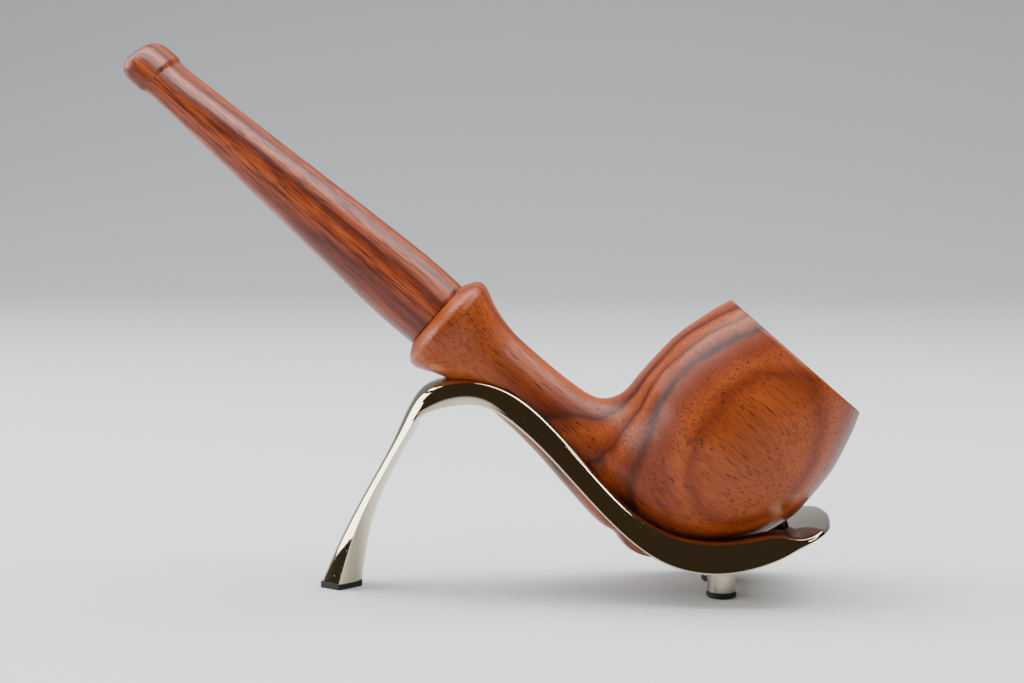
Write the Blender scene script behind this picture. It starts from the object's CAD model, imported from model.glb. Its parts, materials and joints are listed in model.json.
import json
import math

import bmesh
import bpy
import numpy as np
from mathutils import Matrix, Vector


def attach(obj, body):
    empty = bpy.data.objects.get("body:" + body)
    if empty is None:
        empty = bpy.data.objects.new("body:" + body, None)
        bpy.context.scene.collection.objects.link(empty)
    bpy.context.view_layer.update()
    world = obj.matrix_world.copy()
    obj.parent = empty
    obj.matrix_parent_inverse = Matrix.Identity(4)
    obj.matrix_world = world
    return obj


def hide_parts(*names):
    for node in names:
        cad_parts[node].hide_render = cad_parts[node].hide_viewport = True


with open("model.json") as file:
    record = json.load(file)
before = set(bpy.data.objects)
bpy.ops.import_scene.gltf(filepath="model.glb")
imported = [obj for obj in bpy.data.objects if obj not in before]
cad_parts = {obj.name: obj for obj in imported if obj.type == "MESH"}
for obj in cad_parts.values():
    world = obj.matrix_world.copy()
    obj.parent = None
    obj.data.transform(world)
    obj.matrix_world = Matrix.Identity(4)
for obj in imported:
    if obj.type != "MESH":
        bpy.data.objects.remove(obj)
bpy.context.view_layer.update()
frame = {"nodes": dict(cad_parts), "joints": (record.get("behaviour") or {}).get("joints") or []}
print("frame loaded:", len(frame["nodes"]), "nodes")

mm = 0.001

# The pipe leans back on its stand. Its own frame has X along the shank towards the bowl,
# Z up the bowl and its origin at the middle of the joint between mouthpiece and collar.
twistJoint = next(j for j in frame["joints"] if j["name"] == "stem_twist")
pipeOrigin = np.array(twistJoint["pos_m"])
pipeTilt = math.atan2(twistJoint["axis"][2], -twistJoint["axis"][0])


def pipeToRow(points):
    # turns an array of pipe-frame points, in millimetres, by the tilt about Y,
    # then moves it to the joint: metres in the row frame
    x, y, z = np.moveaxis(np.asarray(points, float) * mm, -1, 0)
    c, s = math.cos(pipeTilt), math.sin(pipeTilt)
    return np.stack([x * c + z * s, y, z * c - x * s], axis=-1) + pipeOrigin


def rowToPipe(points):
    # the way back: row-frame millimetres to pipe-frame millimetres
    x, y, z = np.moveaxis(points - pipeOrigin / mm, -1, 0)
    c, s = math.cos(pipeTilt), math.sin(pipeTilt)
    return np.stack([x * c - z * s, y, x * s + z * c], axis=-1)


def smoothStep(low, high, value):
    share = np.clip((value - low) / (high - low), 0.0, 1.0)
    return share * share * (3.0 - 2.0 * share)


def hermite(places, values, query):
    # monotone cubic through the given values: slopes are harmonic means of the two
    # neighbouring chords, and zero where the chords change sign, so nothing overshoots
    places, values = np.asarray(places, float), np.asarray(values, float)
    step = np.diff(places)
    chord = np.diff(values) / step
    product = chord[:-1] * chord[1:]
    total = chord[:-1] + chord[1:]
    inner = np.where(product > 0, 2.0 * product / np.where(product > 0, total, 1.0), 0.0)
    slope = np.concatenate([chord[:1], inner, chord[-1:]])
    query = np.clip(query, places[0], places[-1])
    index = np.clip(np.searchsorted(places, query, side="right") - 1, 0, len(step) - 1)
    t = (query - places[index]) / step[index]
    return (values[index] * (1 + 2 * t) * (1 - t) ** 2
            + values[index + 1] * t * t * (3 - 2 * t)
            + step[index] * slope[index] * t * (1 - t) ** 2
            + step[index] * slope[index + 1] * t * t * (t - 1))


def putMesh(name, vertices, faces, smoothAngle=30.0):
    mesh = bpy.data.meshes.new(name)
    mesh.from_pydata(np.asarray(vertices, float).tolist(), [], faces)
    mesh.validate()
    mesh.shade_smooth()
    mesh.set_sharp_from_angle(angle=math.radians(smoothAngle))
    piece = bpy.data.objects.new(name, mesh)
    bpy.context.scene.collection.objects.link(piece)
    return piece


def closedTube(name, rings, smoothAngle=30.0):
    # rings is an array of rows x columns x 3: each row is a closed ring, and the first and
    # last rows close on their own middle points. Rows advance so that faces point outwards.
    rows, columns, _ = rings.shape
    first, last = rings[0].mean(axis=0), rings[-1].mean(axis=0)
    vertices = np.vstack([rings.reshape(-1, 3), first, last])
    row, column = np.meshgrid(np.arange(rows - 1), np.arange(columns), indexing="ij")
    following = (column + 1) % columns
    quads = np.stack([row * columns + column, (row + 1) * columns + column,
                      (row + 1) * columns + following, row * columns + following],
                     axis=-1).reshape(-1, 4)
    around = np.arange(columns)
    beyond = (around + 1) % columns
    base = (rows - 1) * columns
    startFan = np.stack([np.full(columns, rows * columns), around, beyond], axis=-1)
    endFan = np.stack([np.full(columns, rows * columns + 1), base + beyond, base + around],
                      axis=-1)
    faces = quads.tolist() + startFan.tolist() + endFan.tolist()
    return putMesh(name, vertices, faces, smoothAngle)


stummel = {
    "bowlAxis": 53.7,
    "bowlOutline": [(-9.3, 0.0), (-8.9, 3.0), (-8.0, 4.7), (-6.6, 6.2), (-2.0, 9.9), (5.0, 14.6),
                    (10.5, 17.4), (17.0, 18.95), (24.0, 18.75), (33.0, 16.8), (37.1, 15.35)],
    "shankOutline": [(0.0, 6.9), (1.5, 9.2), (2.4, 9.72), (3.1, 9.72), (4.1, 9.4), (6.8, 8.2),
                     (9.9, 7.25), (14.0, 6.62), (18.0, 6.55), (23.0, 6.62), (30.0, 7.1),
                     (38.0, 8.2), (47.0, 9.15), (51.0, 8.3), (54.0, 5.6), (56.0, 1.8),
                     (56.3, 0.0)],
    "rim": 37.1,
    "chamberRadius": 9.5,
    "chamberFloor": 5.5,
    "chamberBottom": -2.0,
    "mortiseRadius": 4.5,
    "mortiseDepth": 20.0,
    "saddleBlend": 9.5,      # how wide the curve between shank and bowl is
    "hinge": (28.5, 13.0),   # the line, above the saddle, that the middle sections turn about
    "edgeRound": 0.25,
    "heelBlend": 0.8,        # the same curve under the shank, where it's tight
    "heelBlendFrom": -5.0,
    "heelBlendTo": 3.0,
    "poleRadius": 0.4,       # the innermost ring, before a surface closes on its middle
    "columns": 192,
    "collarRows": (0.0, 4.2, 22),        # from, to and how many
    "shankRows": (4.8, 20.0, 34),
    "uprightFrom": 20.5,
    "uprightRows": 14,
    "fanRows": 84,
    "levelRows": 46,
    "mortiseMiddle": 12.0,
    "chamberWallTop": 30.0,
    "chamberWallRows": 8,
    "chamberDomeRows": 16,
    "marchReach": 30.0,      # how far a ray looks for the surface, and in how many steps
    "marchSteps": 61,
    "halvings": 18,
    "walkReach": 60.0,
    "walkSteps": 601,
}


def bowlRadius(z):
    # the turned outline: a round heel, a cone, a full belly and a slightly closing shoulder
    places, radii = zip(*stummel["bowlOutline"])
    belowHeel = z < places[3]
    rise = np.clip(z - places[0], 0.0, None)
    heelRise = places[3] - places[0]
    heelCurve = (radii[3] ** 2 + heelRise ** 2) / (2 * heelRise)
    heel = np.sqrt(np.clip(2 * heelCurve * rise - rise ** 2, 0.0, None))
    return np.where(belowHeel, heel, hermite(places[3:], radii[3:], z))


def shankRadius(x):
    places, radii = zip(*stummel["shankOutline"])
    return np.where(x > places[-1], 0.0, hermite(places, radii, x))


def outsideBlock(x, y, z):
    # below zero inside the wood: a smooth union of the turned shank and the turned bowl,
    # blended widely above the shank and tightly under it
    shank = np.hypot(y, z) - shankRadius(x)
    shank = np.maximum(shank, x - stummel["shankOutline"][-1][0])
    bowl = np.hypot(x - stummel["bowlAxis"], y) - bowlRadius(z)
    bowl = np.maximum(bowl, stummel["bowlOutline"][0][0] - z)
    tight, wide = stummel["heelBlend"], stummel["saddleBlend"]
    above = smoothStep(stummel["heelBlendFrom"], stummel["heelBlendTo"], z)
    width = tight + (wide - tight) * above
    near = np.clip(width - np.abs(shank - bowl), 0.0, None) / width
    return np.minimum(shank, bowl) - near * near * width / 4.0


def crossing(centre, along, across, angles):
    # one ring for every section plane: from each centre, the distance along each angle at
    # which the block's surface is met, found by a coarse march and then by halving
    direction = (along[:, None, :] * np.cos(angles)[None, :, None]
                 + across[:, None, :] * np.sin(angles)[None, :, None])
    steps = np.linspace(0.0, stummel["marchReach"], stummel["marchSteps"])
    point = centre[:, None, None, :] + direction[:, :, None, :] * steps[None, None, :, None]
    outside = outsideBlock(*np.moveaxis(point, -1, 0)) > 0.0
    first = np.argmax(outside, axis=2)
    high = steps[first]
    low = steps[np.maximum(first - 1, 0)]
    for _ in range(stummel["halvings"]):
        middle = (low + high) / 2.0
        point = centre[:, None, :] + direction * middle[:, :, None]
        out = outsideBlock(*np.moveaxis(point, -1, 0)) > 0.0
        high = np.where(out, middle, high)
        low = np.where(out, low, middle)
    return centre[:, None, :] + direction * ((low + high) / 2.0)[:, :, None]


def turnedRings(places, radii, angles):
    # rings about the shank's axis, starting at the top and turning towards +Y
    places, radii = np.asarray(places, float)[:, None], np.asarray(radii, float)[:, None]
    return np.stack([places + 0 * angles, radii * np.sin(angles), radii * np.cos(angles)], -1)


def uprightRings(levels, radii, angles):
    # rings about the bowl's axis. They start on the shank's side, where the others' top is
    levels, radii = np.asarray(levels, float)[:, None], np.asarray(radii, float)[:, None]
    return np.stack([stummel["bowlAxis"] - radii * np.cos(angles), radii * np.sin(angles),
                     levels + 0 * angles], -1)


def makeStummel():
    angles = np.linspace(0.0, 2.0 * np.pi, stummel["columns"], endpoint=False)
    hingeX, hingeZ = stummel["hinge"]
    roundOff = stummel["edgeRound"]
    shankPlaces = np.concatenate([np.linspace(*stummel["collarRows"]),
                                  np.linspace(*stummel["shankRows"])])
    mortiseDepth, bore = stummel["mortiseDepth"], stummel["mortiseRadius"]
    mortise = turnedRings(
        [mortiseDepth, mortiseDepth, stummel["mortiseMiddle"], roundOff, 0.0],
        [stummel["poleRadius"], bore, bore, bore, bore + roundOff], angles)
    shank = turnedRings(shankPlaces, shankRadius(shankPlaces), angles)
    # upright planes up to the hinge, a fan about it under the bowl, then level planes
    plain = np.linspace(stummel["uprightFrom"], hingeX, stummel["uprightRows"])
    fan = np.linspace(0.0, np.pi / 2.0, stummel["fanRows"])[1:-1]
    levels = np.linspace(hingeZ, stummel["rim"] - roundOff, stummel["levelRows"])
    upright = np.stack([plain, 0 * plain, 0 * plain], -1)
    uprightAlong = np.tile([0.0, 0.0, 1.0], (len(plain), 1))
    towards = np.stack([np.sin(fan), 0 * fan, -np.cos(fan)], -1)
    reach = np.linspace(0.0, stummel["walkReach"], stummel["walkSteps"])
    walk = np.array([hingeX, 0.0, hingeZ]) + towards[:, None, :] * reach[None, :, None]
    inside = outsideBlock(*np.moveaxis(walk, -1, 0)) < 0.0
    enter = reach[np.argmax(inside, axis=1)]
    leave = reach[len(reach) - 1 - np.argmax(inside[:, ::-1], axis=1)]
    fanCentre = np.array([hingeX, 0.0, hingeZ]) + towards * ((enter + leave) / 2.0)[:, None]
    level = np.stack([stummel["bowlAxis"] + 0 * levels, 0 * levels, levels], -1)
    levelAlong = np.tile([-1.0, 0.0, 0.0], (len(levels), 1))
    centre = np.vstack([upright, fanCentre, level])
    along = np.vstack([uprightAlong, -towards, levelAlong])
    across = np.tile([0.0, 1.0, 0.0], (len(centre), 1))
    body = crossing(centre, along, across, angles)
    rimRadius = float(bowlRadius(np.array(stummel["rim"])))
    chamber = stummel["chamberRadius"]
    rim = uprightRings([stummel["rim"], stummel["rim"], stummel["rim"] - roundOff],
                       [rimRadius - roundOff, chamber + roundOff, chamber], angles)
    dome = np.linspace(0.0, np.pi / 2.0, stummel["chamberDomeRows"])[1:-1]
    floor, wallRows = stummel["chamberFloor"], stummel["chamberWallRows"]
    depth = floor - stummel["chamberBottom"]
    wallLevels = np.concatenate([np.linspace(stummel["chamberWallTop"], floor, wallRows),
                                 floor - depth * np.sin(dome)])
    wallRadii = np.concatenate([np.full(wallRows, chamber), chamber * np.cos(dome)])
    rings = np.concatenate([mortise, shank, body, rim,
                            uprightRings(wallLevels, wallRadii, angles)])
    return closedTube("bowl_and_shank", pipeToRow(rings), 40.0)


mouthpiece = {
    "roll": 20.0,            # turned this far in the shank, so the bit isn't quite level
    "backs": [0.0, 6.0, 20.0, 38.0, 55.0, 63.0, 65.6, 71.4],
    "halfWidths": [6.85, 6.95, 6.65, 6.1, 5.75, 5.75, 5.95, 6.0],
    "halfHeights": [6.85, 6.95, 6.3, 5.0, 3.75, 3.2, 3.15, 3.05],
    "lip": 0.55,             # the ledge that teeth hold
    "lipBack": 65.8,
    "lipRise": (0.9, 0.3),   # how far before and after lipBack the ledge rises
    "lipSideShare": 0.6,     # the ledge is this much of its height at the sides
    "tip": 71.4,
    "tipRound": 2.9,
    "tipNarrowing": (2.4, 1.9),     # off the half width and the half height at the very tip
    "jointRound": 0.2,
    "squareness": (2.0, 0.25),      # the oval's exponent at the joint, and its rise by the bit
    "squareFrom": 20.0,
    "squareTo": 60.0,
    "socketRadius": 4.45,
    "socketDepth": 12.0,
    "socketRound": 0.3,
    "slotHalf": (3.4, 0.8),
    "slotDepth": 9.0,
    "slotFlare": [(0.0, 0.35), (0.3, 0.08), (1.0, 0.0)],        # depth and how much wider
    "slotSquareness": 5.0,
    "columns": 128,
    "jointRows": [0.0, 0.3],
    "stemRows": (1.0, 64.6, 60),         # from, to and how many
    "ledgeRows": (65.0, 66.6, 13),
    "lipRowsFrom": 66.9,
    "lipRows": 8,
    "tipRows": 14,
}


def makeMouthpiece():
    # an oval carried back along the axis: round at the joint and flat at the bit, with a
    # ledge and a rounded lip. The slot at one end and the tenon socket at the other are closed
    # pockets, with no bore between them
    m = mouthpiece
    angles = np.linspace(0.0, 2.0 * np.pi, m["columns"], endpoint=False)
    backs = np.concatenate([
        m["jointRows"], np.linspace(*m["stemRows"]), np.linspace(*m["ledgeRows"]),
        np.linspace(m["lipRowsFrom"], m["tip"] - m["tipRound"], m["lipRows"])])
    turn = np.linspace(0.0, np.pi / 2.0, m["tipRows"])[1:]
    backs = np.concatenate([backs, m["tip"] - m["tipRound"] * (1.0 - np.sin(turn))])
    width = hermite(m["backs"], m["halfWidths"], backs)
    height = hermite(m["backs"], m["halfHeights"], backs)
    riseBefore, riseAfter = m["lipRise"]
    ledge = smoothStep(m["lipBack"] - riseBefore, m["lipBack"] + riseAfter, backs)
    over = np.clip(backs - (m["tip"] - m["tipRound"]), 0.0, m["tipRound"]) / m["tipRound"]
    shrink = 1.0 - np.sqrt(np.clip(1.0 - over ** 2, 0.0, None))
    lessWidth, lessHeight = m["tipNarrowing"]
    width = width + m["lip"] * m["lipSideShare"] * ledge - lessWidth * shrink
    height = height + m["lip"] * ledge - lessHeight * shrink
    jointRound = np.where(backs < m["jointRound"], m["jointRound"], 0.0)
    oval, squarer = m["squareness"]
    exponent = (oval + squarer * smoothStep(m["squareFrom"], m["squareTo"], backs))[:, None]
    cosine, sine = np.cos(angles)[None, :], np.sin(angles)[None, :]
    stretch = (np.abs(cosine) ** exponent + np.abs(sine) ** exponent) ** (-1.0 / exponent)
    y = -(width - jointRound)[:, None] * sine * stretch
    z = (height - jointRound)[:, None] * cosine * stretch
    outer = np.stack([-backs[:, None] + 0 * y, y, z], -1)
    bore, boreRound = m["socketRadius"], m["socketRound"]
    socket = turnedRings([-m["socketDepth"], -m["socketDepth"], -boreRound, 0.0],
                         [stummel["poleRadius"], bore, bore, bore + boreRound], -angles)
    slotWidth, slotHeight = m["slotHalf"]
    slotDepths, flare = np.array(m["slotFlare"] + [(m["slotDepth"], 0.0)]).T
    slotPlaces = m["tip"] - slotDepths
    grow = flare[:, None]
    power = m["slotSquareness"]
    boxy = (np.abs(cosine) ** power + np.abs(sine) ** power) ** (-1.0 / power)
    slot = np.stack([-slotPlaces[:, None] + 0 * boxy + 0 * grow,
                     -(slotWidth + grow) * sine * boxy, (slotHeight + grow) * cosine * boxy], -1)
    rings = np.concatenate([socket, outer, slot])
    c, s = math.cos(math.radians(m["roll"])), math.sin(math.radians(m["roll"]))
    x, y, z = np.moveaxis(rings, -1, 0)
    rolled = np.stack([x, y * c - z * s, y * s + z * c], -1)
    return closedTube("stem_and_bit", pipeToRow(rolled), 40.0)


# Stations along the casting: upper edge x z, lower edge x z, their half widths, and how far
# the outer and inner faces stand out between the edges
stand = {
    "stations": [
        (-30.6, 1.1, -28.0, 1.1, 2.85, 4.6, 1.0, 3.7),      # foot
        (-26.3, 11.0, -24.8, 11.4, 2.9, 4.2, 0.9, 2.6),
        (-21.3, 20.5, -20.0, 21.0, 3.0, 4.0, 0.8, 1.8),
        (-16.0, 30.0, -15.0, 29.6, 3.5, 4.5, 0.9, 1.1),
        (-12.3, 36.0, -11.6, 32.9, 4.7, 5.5, 1.2, 0.5),
        (-5.0, 38.7, -5.0, 34.5, 6.4, 6.8, 0.2, 0.0),       # top of the arch
        (4.0, 36.4, 1.2, 33.1, 7.8, 8.0, 0.0, 0.0),
        (13.0, 28.7, 9.6, 26.4, 9.8, 10.2, 0.0, 0.0),
        (23.0, 18.3, 20.0, 15.7, 11.8, 13.1, 0.0, 0.0),
        (32.0, 12.5, 30.4, 7.8, 13.0, 15.1, 0.0, 0.0),
        (41.0, 11.3, 41.2, 6.05, 13.6, 16.0, 0.0, 0.0),     # over the studs
        (48.3, 12.4, 49.6, 8.1, 13.3, 15.7, 0.0, 0.0),
        (52.0, 12.5, 53.0, 9.7, 13.7, 15.2, 0.1, 0.0),
        (55.0, 12.2, 55.7, 11.1, 14.1, 14.5, 0.5, 0.1),
        (58.0, 13.0, 58.4, 12.3, 12.3, 12.5, 0.5, 0.1),
        (60.2, 13.7, 60.5, 13.1, 7.5, 7.6, 0.3, 0.0),
        (61.0, 13.9, 61.2, 13.35, 0.0, 0.0, 0.0, 0.0),      # nose
    ],
    # the opening's half width at the upper and lower edge, station by station
    "opening": [(3.9, 3.0)] * 6 + [(4.6, 3.2), (8.2, 6.2), (9.6, 7.7), (10.6, 6.6), (9.7, 3.1)]
               + [(8.8, 3.0)] * 6,
    "openingFrom": 5.75,     # in stations, counted from the foot
    "openingTo": 12.6,
    "openingRound": 0.9,     # how much of a station interval its rounded ends take
    "gap": 0.25,             # between wood and metal beside the opening; none on the arch's top
    "upperRound": 0.9,       # the polished edges
    "lowerRound": 0.5,
    "innerRound": 0.3,
    "upperRoundShare": 0.35,     # the edges take no more than this of the depth
    "lowerRoundShare": 0.25,
    "roundWidthShare": 0.3,      # or of the width
    "thinnestRail": 0.995,       # the wall stops at this share of the rail's flat top
    "keelPower": 1.6,        # the keel's cross-section is 1 - width ** keelPower
    "sideBulge": 0.12,
    "fullBulgeDepth": 4.0,   # thinner rails bulge less
    "widestWood": 24.0,
    "woodHalvings": 20,
    "seatLevels": 161,
    "seatHalvings": 16,
    "rowsPerStation": 16,
    "openingEndRows": 14,
    "seatRows": 18,
    "underSeatRows": 7,
    "topRows": 10,
    "sideRows": 9,
    "bottomRows": 12,
    "upperEdgeRows": 8,
    "lowerEdgeRows": 8,
    "innerEdgeRows": 6,
    "weld": 1e-7,            # metres
    "sharpAngle": 35.0,
}


def throughStations(values, query):
    # natural cubic spline through rows of values at 0, 1, 2 and so on: the second
    # derivatives make neighbouring pieces agree in slope, and are zero at both ends
    values = np.asarray(values, float)
    count = len(values)
    system, right = np.eye(count), np.zeros_like(values)
    inner = np.arange(1, count - 1)
    system[inner, inner - 1] = system[inner, inner + 1] = 1.0
    system[inner, inner] = 4.0
    right[1:-1] = 6.0 * (values[2:] - 2.0 * values[1:-1] + values[:-2])
    bend = np.linalg.solve(system, right)
    index = np.clip(query.astype(int), 0, count - 2)
    t = (query - index)[:, None]
    before, after = bend[index], bend[index + 1]
    slope = values[index + 1] - values[index] - (2.0 * before + after) / 6.0
    return values[index] + t * (slope + t * (before / 2.0 + t * (after - before) / 6.0))


def woodHalfWidth(x, z):
    # half the width of the wood, with the gap, at places in the side view: found by halving
    low, high = np.zeros_like(x), np.full_like(x, stand["widestWood"])
    for _ in range(stand["woodHalvings"]):
        middle = (low + high) / 2.0
        place = rowToPipe(np.stack([x, middle, z], -1))
        inside = outsideBlock(*np.moveaxis(place, -1, 0)) < stand["gap"]
        low, high = np.where(inside, middle, low), np.where(inside, high, middle)
    return np.where(low > 0.0, high, 0.0)


def cornerCurve(before, corner, after, count):
    # rounds a corner: a curve that leaves along one side and arrives along the other
    t = np.linspace(0.0, 1.0, count)[None, :, None]
    return ((1 - t) ** 2 * before[:, None] + 2 * t * (1 - t) * corner[:, None]
            + t * t * after[:, None])


def straight(first, last, count):
    # evenly spaced points, without the two ends
    t = np.linspace(0.0, 1.0, count + 2)[None, 1:-1, None]
    return first[:, None] * (1 - t) + last[:, None] * t


def makeStand():
    # Half of every cross-section is a closed loop: up the inner wall, over the top, down the
    # side and back along the bottom. The inner wall follows the wood where that is wider than
    # the opening, and lies in the middle plane where the casting is whole; there it's dropped.
    s = stand
    count = len(s["stations"])
    start, end, turn = s["openingFrom"], s["openingTo"], s["openingRound"]
    ease = turn * (1.0 - np.cos(np.linspace(0.0, np.pi / 2.0, s["openingEndRows"])))
    rows = np.concatenate([np.linspace(0.0, count - 1, (count - 1) * s["rowsPerStation"] + 1),
                           start + ease, end - ease])
    rows = np.unique(np.round(rows, 3))
    table = throughStations(s["stations"], rows)
    upper, lower = table[:, 0:2], table[:, 2:4]
    upperHalf, lowerHalf, crown, keel = np.maximum(table[:, 4:8], 0.0).T
    upperHalf[-1] = lowerHalf[-1] = 0.0
    opening = throughStations(s["opening"], rows)
    near = np.clip(np.minimum(rows - start, end - rows) / turn, 0.0, 1.0)
    opening = opening * np.sqrt(1.0 - (1.0 - near) ** 2)[:, None]
    depth = np.linalg.norm(lower - upper, axis=1)
    down = (lower - upper) / depth[:, None]

    # how deep the wood reaches in the middle plane, then the inner wall above and below that
    levels = np.linspace(0.0, 1.0, s["seatLevels"])[None, :] * depth[:, None]
    side = upper[:, None, :] + down[:, None, :] * levels[..., None]
    clear = woodHalfWidth(side[..., 0], side[..., 1]) <= 0.0
    deepest = np.where(clear.any(axis=1), np.argmax(clear, axis=1), clear.shape[1] - 1)
    high = levels[np.arange(len(rows)), deepest]
    low = levels[np.arange(len(rows)), np.maximum(deepest - 1, 0)]
    for _ in range(s["seatHalvings"]):
        middle = (low + high) / 2.0
        place = upper + down * middle[:, None]
        dry = woodHalfWidth(place[:, 0], place[:, 1]) <= 0.0
        low, high = np.where(dry, low, middle), np.where(dry, middle, high)
    seatDepth = np.where(clear.any(axis=1), high, depth)
    share = np.sin(np.linspace(0.0, np.pi / 2.0, s["seatRows"]))[None, :]
    under = np.linspace(0.0, 1.0, s["underSeatRows"])[None, 1:]
    wall = np.concatenate([seatDepth[:, None] * share,
                           seatDepth[:, None] + (depth - seatDepth)[:, None] * under], axis=1)
    place = upper[:, None, :] + down[:, None, :] * wall[..., None]
    wood = woodHalfWidth(place[..., 0], place[..., 1])
    gate = opening[:, :1] + (opening[:, 1:] - opening[:, :1]) * wall / depth[:, None]
    wallHalf = np.maximum(wood, gate)
    ofWidth = s["roundWidthShare"]
    upperMost = np.minimum(s["upperRoundShare"] * depth, ofWidth * upperHalf)
    upperRound = np.minimum(s["upperRound"], upperMost)
    lowerMost = np.minimum(s["lowerRoundShare"] * depth, ofWidth * lowerHalf)
    lowerRound = np.minimum(s["lowerRound"], lowerMost)
    wallHalf = np.minimum(wallHalf, (upperHalf - upperRound)[:, None] * s["thinnestRail"])
    wallHalf = np.maximum(wallHalf, 0.0)

    # points are (half width, depth) pairs, one row of them for each cross-section
    wallLine = np.stack([wallHalf, wall], -1)[:, ::-1]
    topIn = wallLine[:, -1]
    bottomIn = wallLine[:, 0]
    topOut = np.stack([upperHalf - upperRound, 0 * depth], -1)
    topCorner = np.stack([upperHalf, 0 * depth], -1)
    bottomCorner = np.stack([lowerHalf, depth], -1)
    slant = (bottomCorner - topCorner) / np.maximum(depth, 1e-9)[:, None]
    sideTop = topCorner + slant * upperRound[:, None]
    sideBottom = bottomCorner - slant * lowerRound[:, None]
    bottomOut = np.stack([lowerHalf - lowerRound, depth], -1)
    flank = straight(sideTop, sideBottom, s["sideRows"])
    along = np.linspace(0.0, 1.0, s["sideRows"] + 2)[1:-1]
    full = s["fullBulgeDepth"]
    # the parabola 4 t (1 - t) is 1 in the middle of the side
    flank[..., 0] += 4.0 * s["sideBulge"] * along * (1 - along) * (np.minimum(depth, full)
                                                                  / full)[:, None]
    innerMost = ofWidth * np.minimum(topOut[:, 0] - topIn[:, 0], topIn[:, 0])
    innerRound = np.minimum(s["innerRound"], innerMost)
    ledge = topIn + np.stack([innerRound, 0 * depth], -1)
    below = wallLine[:, -2]
    loop = np.concatenate([
        wallLine[:, :-2],
        cornerCurve(below, topIn, ledge, s["innerEdgeRows"]),
        straight(ledge, topOut, s["topRows"]),
        cornerCurve(topOut, topCorner, sideTop, s["upperEdgeRows"]),
        flank,
        cornerCurve(sideBottom, bottomCorner, bottomOut, s["lowerEdgeRows"]),
        straight(bottomOut, bottomIn, s["bottomRows"]),
    ], axis=1)
    half, level = loop[..., 0], loop[..., 1]
    fraction = np.clip(level / np.maximum(depth, 1e-9)[:, None], 0.0, 1.0)
    onTop = 1.0 - np.clip(half / np.maximum(upperHalf, 1e-6)[:, None], 0.0, 1.0) ** 2
    outward = np.clip(half / np.maximum(lowerHalf, 1e-6)[:, None], 0.0, 1.0)
    onBottom = 1.0 - outward ** s["keelPower"]
    level = (level - crown[:, None] * onTop * (1.0 - fraction)
             + keel[:, None] * onBottom * fraction)
    x = upper[:, :1] + down[:, :1] * level
    z = upper[:, 1:] + down[:, 1:] * level
    points = np.stack([x, half, z], -1) * mm
    points[-1, :, 1] = 0.0

    # the half is joined to its mirror image, with a flat end at the foot
    total, columns = half.shape
    row, column = np.meshgrid(np.arange(total - 1), np.arange(columns), indexing="ij")
    following = (column + 1) % columns
    quads = np.stack([row * columns + column, (row + 1) * columns + column,
                      (row + 1) * columns + following, row * columns + following],
                     axis=-1).reshape(-1, 4)
    vertices = np.vstack([points.reshape(-1, 3), [points[0, :, 0].mean(), 0.0, points[0, 0, 2]]])
    around = np.arange(columns)
    fan = np.stack([np.full(columns, total * columns), around, (around + 1) % columns], -1)
    quads = quads[vertices[quads, 1].max(axis=1) > 0.0]
    fan = fan[vertices[fan, 1].max(axis=1) > 0.0]
    mirrored = vertices * [1.0, -1.0, 1.0]
    faces = quads.tolist() + fan.tolist()
    faces += (quads[:, ::-1] + len(vertices)).tolist() + (fan[:, ::-1] + len(vertices)).tolist()
    piece = putMesh("polished_casting", np.vstack([vertices, mirrored]), faces)
    shell = bmesh.new()
    shell.from_mesh(piece.data)
    bmesh.ops.remove_doubles(shell, verts=shell.verts, dist=s["weld"])
    loose = [vertex for vertex in shell.verts if not vertex.link_faces]
    bmesh.ops.delete(shell, geom=loose, context="VERTS")
    bmesh.ops.recalc_face_normals(shell, faces=shell.faces)
    shell.to_mesh(piece.data)
    shell.free()
    piece.data.shade_smooth()
    piece.data.set_sharp_from_angle(angle=math.radians(s["sharpAngle"]))
    return piece


def linearRgb(text):
    # sRGB hex to linear light
    share = np.array([int(text[i:i + 2], 16) for i in (1, 3, 5)]) / 255.0
    linear = np.where(share <= 0.04045, share / 12.92, ((share + 0.055) / 1.055) ** 2.4)
    return (*linear.tolist(), 1.0)


def addNode(tree, kind, settings, inputs, output=0):
    # adds one node, sets it, links or fills its inputs, and gives the output asked for
    node = tree.nodes.new(kind)
    for name, value in settings.items():
        setattr(node, name, value)
    for name, value in inputs.items():
        if isinstance(value, bpy.types.NodeSocket):
            tree.links.new(value, node.inputs[name])
        else:
            node.inputs[name].default_value = value
    return None if output is None else node.outputs[output]


def startMaterial(name, constants):
    material = bpy.data.materials.new(name)
    material.use_nodes = True
    tree = material.node_tree
    shader = next(n for n in tree.nodes if n.type == "BSDF_PRINCIPLED")
    for socket, value in constants.items():
        shader.inputs[socket].default_value = value
    return material, tree, shader


# What both woods share. A scale of (a, b, b) gives one patch about every 1 / a mm along the
# shank and 1 / b mm across it.
oiledWood = {
    "ior": 1.48,
    "oilIor": 1.45,
    "oilRoughness": 0.16,
    "detail": 3.0,
    "wanderRoughness": 0.48,
    "driftScale": (0.16, 0.5, 0.5),      # small waves on top of each wood's own wander
    "drift": 0.9,
    "cloudScale": (0.03, 0.1, 0.1),      # where the lines fade
    "cloudRange": (0.35, 0.7),
    "cloudDepth": 0.4,
    "fibreRoughness": 0.6,
    "fibreRange": (0.38, 0.72),
    "poreDriftScale": (0.05, 0.16, 0.16),
    "poreDrift": 0.22,
    "poreRange": (0.79, 0.86),
    "poreDepth": 0.75,
    "satinRange": (0.3, 0.7),
    "smoother": 0.05,                    # off and onto each wood's own roughness
    "rougher": 0.09,
    "fibreHeight": 0.35,                 # as a share of the pores' depth
    "poreDepthMm": 0.07,
}
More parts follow.
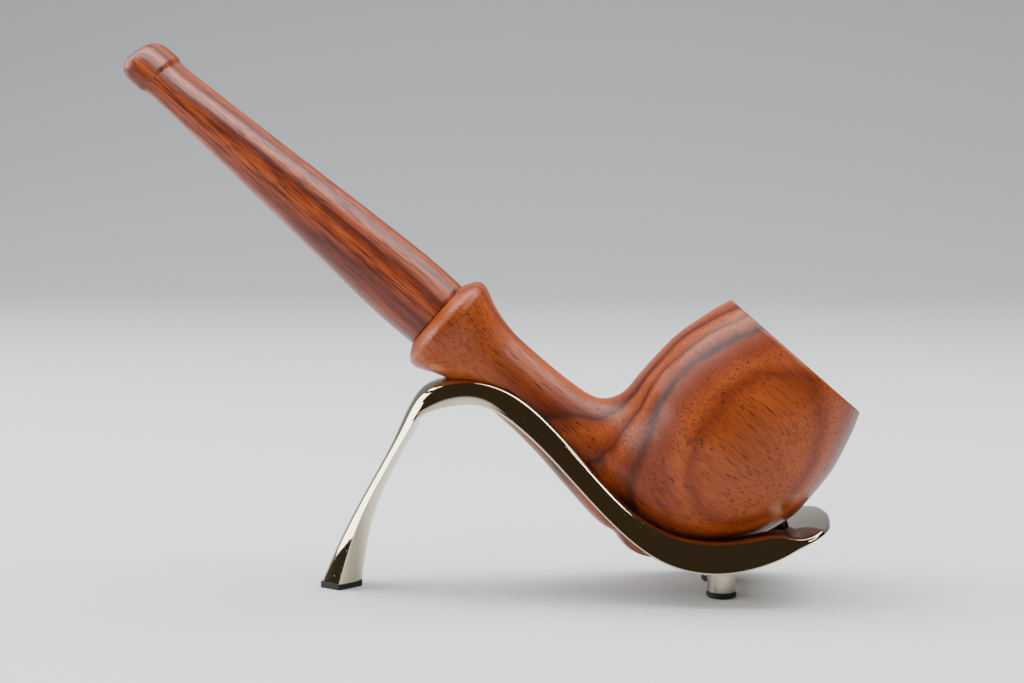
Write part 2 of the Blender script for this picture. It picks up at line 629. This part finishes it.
# layerTones are the growth layers' tones over one repeat, from the pith side outwards
oiledRosewood = {
    "light": "#9C4818", "middle": "#742D0C", "deep": "#451707", "line": "#1A0704",
    "pore": "#341206", "layerNormal": (-0.25, 1.0, 0.05), "layerRepeat": 24.0,
    "layerStart": -21.5, "wander": 7.0, "wanderScale": (0.028, 0.07, 0.06),
    "poreLength": 3.4, "poreWidth": 0.28, "fibreScale": (0.09, 2.6, 2.6),
    "fibreDepth": 0.5, "roughness": 0.36, "coatWeight": 0.05, "gloss": 0.24,
    "relief": 0.4,
    "layerTones": [(0.0, "line"), (0.02, "deep"), (0.06, "middle"), (0.12, "light"),
                   (0.155, "middle"), (0.17, "line"), (0.185, "middle"), (0.27, "light"),
                   (0.33, "middle"), (0.35, "line"), (0.37, "deep"), (0.42, "middle"),
                   (0.52, "light"), (0.66, "light"), (0.72, "middle"), (0.78, "light"),
                   (0.86, "middle"), (0.95, "middle"), (0.975, "deep"), (0.99, "line"),
                   (1.0, "line")],
}
oiledStemWood = {
    "light": "#B0552A", "middle": "#883818", "deep": "#45150A", "line": "#2A0C06",
    "pore": "#2E0E07", "layerNormal": (0.0, 0.75, 0.66), "layerRepeat": 7.0,
    "layerStart": 1.3, "wander": 1.6, "wanderScale": (0.012, 0.12, 0.12),
    "poreLength": 4.5, "poreWidth": 0.22, "fibreScale": (0.11, 2.9, 2.9),
    "fibreDepth": 1.0, "roughness": 0.34, "coatWeight": 0.1, "gloss": 0.32,
    "relief": 0.75,
    "layerTones": [(0.0, "middle"), (0.14, "light"), (0.3, "middle"), (0.4, "deep"),
                   (0.5, "middle"), (0.66, "light"), (0.78, "middle"), (0.9, "deep"),
                   (1.0, "middle")],
}


def oiledHardwood(name, wood):
    # Hardwood, turned, sanded and oiled: satin, with growth layers that are nearly flat here,
    # and with fibres and short open pores along the shank.
    # Layer = distance along the layers' normal plus slow noise, over the repeat.
    both = oiledWood
    material, tree, shader = startMaterial(name, {
        "IOR": both["ior"], "Specular IOR Level": wood["gloss"],
        "Coat Weight": wood["coatWeight"], "Coat Roughness": both["oilRoughness"],
        "Coat IOR": both["oilIor"],
    })
    place = addNode(tree, "ShaderNodeTexCoord", {}, {}, "Object")
    place = addNode(tree, "ShaderNodeMapping", {"vector_type": "TEXTURE"}, {
        "Vector": place, "Location": tuple(pipeOrigin), "Rotation": (0.0, pipeTilt, 0.0),
        "Scale": (mm, mm, mm)})
    depth = addNode(tree, "ShaderNodeVectorMath", {"operation": "DOT_PRODUCT"},
                    {0: place, 1: wood["layerNormal"]}, "Value")
    for scale, amount in ((wood["wanderScale"], wood["wander"]),
                          (both["driftScale"], both["drift"])):
        spread = addNode(tree, "ShaderNodeMapping", {}, {"Vector": place, "Scale": scale})
        drift = addNode(tree, "ShaderNodeTexNoise", {}, {
            "Vector": spread, "Scale": 1.0, "Detail": both["detail"],
            "Roughness": both["wanderRoughness"]})
        depth = addNode(tree, "ShaderNodeMath", {"operation": "MULTIPLY_ADD"},
                        {0: drift, 1: amount, 2: depth})
    # a noise's mean is a half, so half of each amount is taken off again
    start = wood["layerStart"] + 0.5 * (wood["wander"] + both["drift"])
    layer = addNode(tree, "ShaderNodeMath", {"operation": "SUBTRACT"}, {0: depth, 1: start})
    layer = addNode(tree, "ShaderNodeMath", {"operation": "DIVIDE"},
                    {0: layer, 1: wood["layerRepeat"]})
    layer = addNode(tree, "ShaderNodeMath", {"operation": "FRACT"}, {0: layer})
    colour = addNode(tree, "ShaderNodeValToRGB", {}, {"Fac": layer})
    ramp = colour.node.color_ramp
    while len(ramp.elements) > 1:
        ramp.elements.remove(ramp.elements[-1])
    ramp.elements[0].position = 0.0
    ramp.elements[0].color = linearRgb(wood[wood["layerTones"][0][1]])
    for where, shade in wood["layerTones"][1:]:
        ramp.elements.new(where).color = linearRgb(wood[shade])
    # clouds where the lines fade, then fibres, drawn about twice as coarse as they are
    for scale, (low, high), amount, shade in (
            (both["cloudScale"], both["cloudRange"], both["cloudDepth"], "middle"),
            (wood["fibreScale"], both["fibreRange"], wood["fibreDepth"], "deep")):
        spread = addNode(tree, "ShaderNodeMapping", {}, {"Vector": place, "Scale": scale})
        fibre = addNode(tree, "ShaderNodeTexNoise", {}, {
            "Vector": spread, "Scale": 1.0, "Detail": both["detail"],
            "Roughness": both["fibreRoughness"]})
        share = addNode(tree, "ShaderNodeMapRange", {"interpolation_type": "SMOOTHSTEP"}, {
            "Value": fibre, "From Min": low, "From Max": high, "To Max": amount})
        colour = addNode(tree, "ShaderNodeMix", {"data_type": "RGBA"},
                         {0: share, 6: colour, 7: linearRgb(wood[shade])}, 2)
    # short dark dashes where vessels open at the surface, in drifts
    dashScale = (1.0 / wood["poreLength"], 1.0 / wood["poreWidth"], 1.0 / wood["poreWidth"])
    spread = addNode(tree, "ShaderNodeMapping", {}, {"Vector": place, "Scale": dashScale})
    dash = addNode(tree, "ShaderNodeTexNoise", {}, {"Vector": spread, "Scale": 1.0, "Detail": 0.0})
    spread = addNode(tree, "ShaderNodeMapping", {}, {
        "Vector": place, "Scale": both["poreDriftScale"]})
    many = addNode(tree, "ShaderNodeTexNoise", {}, {"Vector": spread, "Scale": 1.0, "Detail": 1.0})
    dash = addNode(tree, "ShaderNodeMath", {"operation": "MULTIPLY_ADD"},
                   {0: many, 1: both["poreDrift"], 2: dash})
    closed, opened = both["poreRange"]
    pore = addNode(tree, "ShaderNodeMapRange", {"interpolation_type": "SMOOTHSTEP"}, {
        "Value": dash, "From Min": closed, "From Max": opened})
    share = addNode(tree, "ShaderNodeMath", {"operation": "MULTIPLY"},
                    {0: pore, 1: both["poreDepth"]})
    colour = addNode(tree, "ShaderNodeMix", {"data_type": "RGBA"},
                     {0: share, 6: colour, 7: linearRgb(wood["pore"])}, 2)
    tree.links.new(colour, shader.inputs["Base Color"])
    low, high = both["satinRange"]
    satin = addNode(tree, "ShaderNodeMapRange", {}, {
        "Value": fibre, "From Min": low, "From Max": high,
        "To Min": wood["roughness"] - both["smoother"],
        "To Max": wood["roughness"] + both["rougher"]})
    tree.links.new(satin, shader.inputs["Roughness"])
    grain = addNode(tree, "ShaderNodeMath", {"operation": "MULTIPLY"},
                    {0: fibre, 1: both["fibreHeight"]})
    height = addNode(tree, "ShaderNodeMath", {"operation": "SUBTRACT"}, {0: grain, 1: pore})
    bump = addNode(tree, "ShaderNodeBump", {}, {
        "Strength": wood["relief"], "Distance": both["poreDepthMm"] * mm, "Height": height})
    tree.links.new(bump, shader.inputs["Normal"])
    return material


# sizes and heights are in millimetres
polishedNickel = {
    "light": "#CBC3AE",
    "dark": "#B8AD94",
    "wipeSize": 25.0 / 3.0,
    "wipeDetail": 3.0,
    "wipeSharpness": 0.6,
    "wipeRange": (0.4, 0.75),
    "roughness": (0.03, 0.08),
    "waveSize": 12.5,
    "waveHeight": 0.10,
    "waveStrength": 0.3,
    "pitSize": 0.3125,
    "pitRange": (0.8, 0.84),
    "pitRoughness": 0.2,
    "pitHeight": -0.03,      # as a share of the waves' height
}


def blackNickel(name):
    # Zinc casting, polished and plated in dark nickel: a warm mirror with slow waves from the
    # polishing wheel, faint hand marks and a few tiny pits
    n = polishedNickel
    material, tree, shader = startMaterial(name, {"Metallic": 1.0})
    place = addNode(tree, "ShaderNodeTexCoord", {}, {}, "Object")
    wipe = addNode(tree, "ShaderNodeTexNoise", {}, {
        "Vector": place, "Scale": 1.0 / (n["wipeSize"] * mm), "Detail": n["wipeDetail"],
        "Roughness": n["wipeSharpness"]})
    wave = addNode(tree, "ShaderNodeTexNoise", {}, {
        "Vector": place, "Scale": 1.0 / (n["waveSize"] * mm), "Detail": 1.0})
    pit = addNode(tree, "ShaderNodeTexNoise", {}, {
        "Vector": place, "Scale": 1.0 / (n["pitSize"] * mm), "Detail": 0.0})
    low, high = n["pitRange"]
    speck = addNode(tree, "ShaderNodeMapRange", {"interpolation_type": "SMOOTHSTEP"}, {
        "Value": pit, "From Min": low, "From Max": high})
    colour = addNode(tree, "ShaderNodeMix", {"data_type": "RGBA"},
                     {0: wipe, 6: linearRgb(n["light"]), 7: linearRgb(n["dark"])}, 2)
    tree.links.new(colour, shader.inputs["Base Color"])
    low, high = n["wipeRange"]
    smoothest, roughest = n["roughness"]
    rough = addNode(tree, "ShaderNodeMapRange", {}, {
        "Value": wipe, "From Min": low, "From Max": high,
        "To Min": smoothest, "To Max": roughest})
    rough = addNode(tree, "ShaderNodeMath", {"operation": "MULTIPLY_ADD"},
                    {0: speck, 1: n["pitRoughness"], 2: rough})
    tree.links.new(rough, shader.inputs["Roughness"])
    height = addNode(tree, "ShaderNodeMath", {"operation": "MULTIPLY_ADD"},
                     {0: speck, 1: n["pitHeight"], 2: wave})
    bump = addNode(tree, "ShaderNodeBump", {}, {
        "Strength": n["waveStrength"], "Distance": n["waveHeight"] * mm, "Height": height})
    tree.links.new(bump, shader.inputs["Normal"])
    return material


# what every turned and every moulded piece shares, in millimetres
turning = {
    "stain": "#8F8C86",
    "stainSize": 10.0 / 3.0,
    "grooveDepth": 0.02,
    "grooveStrength": 0.5,
}
moulding = {
    "ior": 1.5,
    "grainDetail": 3.0,
    "grainRoughness": 0.6,
    "grainStrength": 0.6,
    "patchSize": 50.0 / 9.0,
    "patchRange": (0.3, 0.7),
    "roughnessSpread": 0.08,
}


def turnedMetal(name, colour, roughness, pitch, axis):
    # Bar turned on a lathe: fine grooves round the axis, one for each pitch in millimetres,
    # drawn coarse enough to show. Axis is the bar's direction in the row frame.
    material, tree, shader = startMaterial(name, {"Metallic": 1.0, "Roughness": roughness})
    place = addNode(tree, "ShaderNodeTexCoord", {}, {}, "Object")
    travel = addNode(tree, "ShaderNodeVectorMath", {"operation": "DOT_PRODUCT"},
                     {0: place, 1: axis}, "Value")
    groove = addNode(tree, "ShaderNodeTexNoise", {"noise_dimensions": "1D"}, {
        "W": travel, "Scale": 1.0 / (pitch * mm), "Detail": 2.0})
    stain = addNode(tree, "ShaderNodeTexNoise", {}, {
        "Vector": place, "Scale": 1.0 / (turning["stainSize"] * mm), "Detail": 3.0})
    tone = addNode(tree, "ShaderNodeMix", {"data_type": "RGBA"},
                   {0: stain, 6: linearRgb(colour), 7: linearRgb(turning["stain"])}, 2)
    tree.links.new(tone, shader.inputs["Base Color"])
    bump = addNode(tree, "ShaderNodeBump", {}, {
        "Strength": turning["grooveStrength"], "Distance": turning["grooveDepth"] * mm,
        "Height": groove})
    tree.links.new(bump, shader.inputs["Normal"])
    return material


def moulded(name, dark, light, roughness, grainSize, depth):
    # Moulded rubber, rolled paper or pressed plastic: matt, with an even fine grain, whose size
    # and depth are in millimetres
    m = moulding
    material, tree, shader = startMaterial(name, {"IOR": m["ior"]})
    place = addNode(tree, "ShaderNodeTexCoord", {}, {}, "Object")
    grain = addNode(tree, "ShaderNodeTexNoise", {}, {
        "Vector": place, "Scale": 1.0 / (grainSize * mm), "Detail": m["grainDetail"],
        "Roughness": m["grainRoughness"]})
    patch = addNode(tree, "ShaderNodeTexNoise", {}, {
        "Vector": place, "Scale": 1.0 / (m["patchSize"] * mm), "Detail": 2.0})
    tone = addNode(tree, "ShaderNodeMix", {"data_type": "RGBA"},
                   {0: patch, 6: linearRgb(dark), 7: linearRgb(light)}, 2)
    tree.links.new(tone, shader.inputs["Base Color"])
    low, high = m["patchRange"]
    matt = addNode(tree, "ShaderNodeMapRange", {}, {
        "Value": patch, "From Min": low, "From Max": high,
        "To Min": roughness - m["roughnessSpread"], "To Max": roughness + m["roughnessSpread"]})
    tree.links.new(matt, shader.inputs["Roughness"])
    bump = addNode(tree, "ShaderNodeBump", {}, {
        "Strength": m["grainStrength"], "Distance": depth * mm, "Height": grain})
    tree.links.new(bump, shader.inputs["Normal"])
    return material


def coat(piece, material):
    piece.data.materials.clear()
    piece.data.materials.append(material)


bowlPiece = makeStummel()
coat(bowlPiece, oiledHardwood("oiledRosewood", oiledRosewood))
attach(bowlPiece, "pipe")
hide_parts("stummel")
print("bowl and shank made")

stemPiece = makeMouthpiece()
coat(stemPiece, oiledHardwood("oiledStemWood", oiledStemWood))
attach(stemPiece, "stem")
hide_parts("mouthpiece")
print("mouthpiece made")

standPiece = makeStand()
coat(standPiece, blackNickel("polishedDarkNickel"))
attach(standPiece, "stand")
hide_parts("stand_casting")
print("stand made")

nodeMaterials = {
    "tenon": turnedMetal("turnedAluminium", colour="#C9CACC", roughness=0.24, pitch=0.12,
                         axis=tuple(twistJoint["axis"])),
    "front_stud_near": turnedMetal("turnedPlatedStud", colour="#C4BBA5", roughness=0.12,
                                   pitch=0.3, axis=(0.0, 0.0, 1.0)),
    "front_pad_near": moulded("mouldedRubber", dark="#0B0B0C", light="#1A1A1B",
                              roughness=0.72, grainSize=0.25, depth=0.02),
    "filter_tube": moulded("rolledPaper", dark="#DDD8CB", light="#EFEBE0",
                           roughness=0.85, grainSize=0.12, depth=0.03),
    "filter_cap_back": moulded("pressedWhitePlastic", dark="#E4E1D8", light="#F0EEE8",
                               roughness=0.5, grainSize=0.3, depth=0.01),
}
sameAs = {
    "front_stud_far": "front_stud_near",
    "front_pad_far": "front_pad_near",
    "leg_pad": "front_pad_near",
    "filter_core": "filter_tube",
    "filter_cap_front": "filter_cap_back",
}
for nodeName in list(nodeMaterials) + list(sameAs):
    coat(frame["nodes"][nodeName], nodeMaterials[sameAs.get(nodeName, nodeName)])
print("materials set")


studio = {
    "paperHalfWidth": 3.0,
    "paperFront": -2.5,
    "paperBend": 0.7,        # where the paper starts to rise, behind the object
    "paperRadius": 0.7,
    "paperTop": 2.2,
    "paperBendRows": 33,
    "paperTones": ("#C6C7C9", "#CBCCCD"),
    "paperRoughness": 0.5,
    "paperGloss": 0.15,
    "paperToothSize": 2.0,   # millimetres
    "roomLight": "#B4B6B9",
    "roomInReflections": "#463C2E",
    # each lamp's place, the point it faces, its size in metres and its power in watts
    "softboxes": {
        "topSoftbox": ((0.0, 0.10, 0.60), (0.0, 0.05, 0.0), (1.40, 0.45), 16.0),
        "leftSoftbox": ((-0.70, 0.02, 0.27), (0.0, 0.0, 0.03), (0.60, 0.34), 6.0),
        "frontSoftbox": ((0.62, -0.40, 0.60), (0.03, 0.0, 0.02), (0.50, 0.10), 2.0),
    },
    "cameraPlace": (0.0147, -0.325, 0.078),
    "cameraPitch": 5.748,    # degrees below level
    "cameraTurn": 1.988,
    "lens": 63.28,           # millimetres, on the sensor below
    "sensorWidth": 36.0,
    "nearestShown": 0.01,
}


def makeFloor():
    # a roll of paper: flat in front, then a quarter circle, then straight up
    s = studio
    bend = np.linspace(0.0, np.pi / 2.0, s["paperBendRows"])
    y = np.concatenate([[s["paperFront"]], s["paperBend"] + s["paperRadius"] * np.sin(bend),
                        [s["paperBend"] + s["paperRadius"]]])
    z = np.concatenate([[0.0], s["paperRadius"] * (1.0 - np.cos(bend)), [s["paperTop"]]])
    left, right = (np.stack([0 * y + side * s["paperHalfWidth"], y, z], -1) for side in (-1, 1))
    index = np.arange(len(y) - 1)
    faces = np.stack([index, index + len(y), index + len(y) + 1, index + 1], -1).tolist()
    floor = putMesh("floor", np.vstack([left, right]), faces, 60.0)
    material, tree, shader = startMaterial("palePaper", {
        "Roughness": s["paperRoughness"], "Specular IOR Level": s["paperGloss"],
    })
    place = addNode(tree, "ShaderNodeTexCoord", {}, {}, "Object")
    tooth = addNode(tree, "ShaderNodeTexNoise", {}, {
        "Vector": place, "Scale": 1.0 / (s["paperToothSize"] * mm), "Detail": 3.0})
    dark, light = s["paperTones"]
    tone = addNode(tree, "ShaderNodeMix", {"data_type": "RGBA"},
                   {0: tooth, 6: linearRgb(dark), 7: linearRgb(light)}, 2)
    tree.links.new(tone, shader.inputs["Base Color"])
    coat(floor, material)


def addSoftbox(name, place, aim, size, power):
    light = bpy.data.lights.new(name, "AREA")
    light.shape = "RECTANGLE"
    light.size, light.size_y = size
    light.energy = power
    box = bpy.data.objects.new(name, light)
    box.location = place
    box.rotation_euler = (Vector(aim) - Vector(place)).to_track_quat("-Z", "Y").to_euler()
    box.visible_camera = False
    bpy.context.scene.collection.objects.link(box)


def makeWorld():
    # soft light from all round, with a dim warm room in reflections
    world = bpy.data.worlds.new("studio")
    bpy.context.scene.world = world
    world.use_nodes = True
    tree = world.node_tree
    tree.nodes.clear()
    lit = addNode(tree, "ShaderNodeBackground", {}, {"Color": linearRgb(studio["roomLight"])})
    room = addNode(tree, "ShaderNodeBackground", {}, {
        "Color": linearRgb(studio["roomInReflections"])})
    glossy = addNode(tree, "ShaderNodeLightPath", {}, {}, "Is Glossy Ray")
    blend = addNode(tree, "ShaderNodeMixShader", {}, {0: glossy, 1: lit, 2: room})
    addNode(tree, "ShaderNodeOutputWorld", {}, {"Surface": blend}, None)


def makeCamera():
    data = bpy.data.cameras.new("camera")
    data.lens = studio["lens"]
    data.sensor_width = studio["sensorWidth"]
    data.clip_start = studio["nearestShown"]
    camera = bpy.data.objects.new("camera", data)
    camera.location = studio["cameraPlace"]
    camera.rotation_euler = (math.radians(90.0 - studio["cameraPitch"]), 0.0,
                             math.radians(studio["cameraTurn"]))
    bpy.context.scene.collection.objects.link(camera)
    bpy.context.scene.camera = camera


makeFloor()
makeWorld()
for lampName, lampSettings in studio["softboxes"].items():
    addSoftbox(lampName, *lampSettings)
makeCamera()
print("studio ready")
